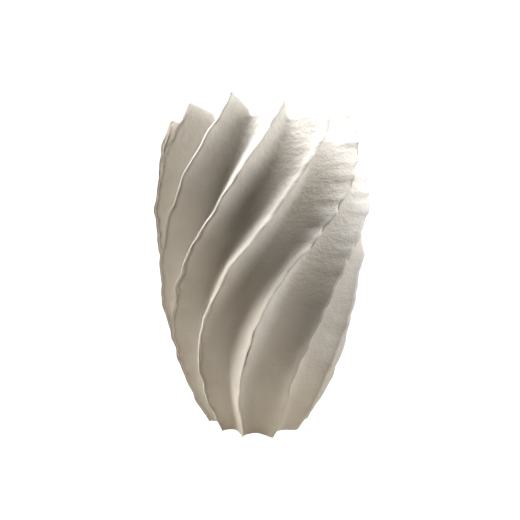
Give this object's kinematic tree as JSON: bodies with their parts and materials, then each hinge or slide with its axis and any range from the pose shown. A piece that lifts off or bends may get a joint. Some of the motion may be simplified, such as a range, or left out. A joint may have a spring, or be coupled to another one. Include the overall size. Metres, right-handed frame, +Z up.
{
  "type": "fluted plaster vase",
  "caption": "Open-topped barrel-shaped vase in matt off-white plaster, wrapped in twisted concave leaves with thin pinched crests and a scalloped rim.",
  "frame": {"origin": "middle of the flat underside, on the surface the vase stands on", "axes": "+Z up along the vase's axis; +X and +Y level, with -Y towards the viewer"},
  "size_m": [0.2183, 0.2181, 0.31],
  "materials": {
    "plaster_leaf": "matt unglazed, finely wrinkled",
    "plaster_wall": "matt unglazed, smoothed by hand",
    "plaster_floor": "matt unglazed, rubbed flat"
  },
  "bodies": {
    "root": {"floor_disc": "plaster_floor", "vessel_wall": "plaster_wall", "leaf_01": "plaster_leaf", "leaf_02": "plaster_leaf", "leaf_03": "plaster_leaf", "leaf_04": "plaster_leaf", "leaf_05": "plaster_leaf", "leaf_06": "plaster_leaf", "leaf_07": "plaster_leaf", "leaf_08": "plaster_leaf", "leaf_09": "plaster_leaf", "leaf_10": "plaster_leaf", "leaf_11": "plaster_leaf", "leaf_12": "plaster_leaf", "leaf_13": "plaster_leaf"}
  },
  "joints": []
}
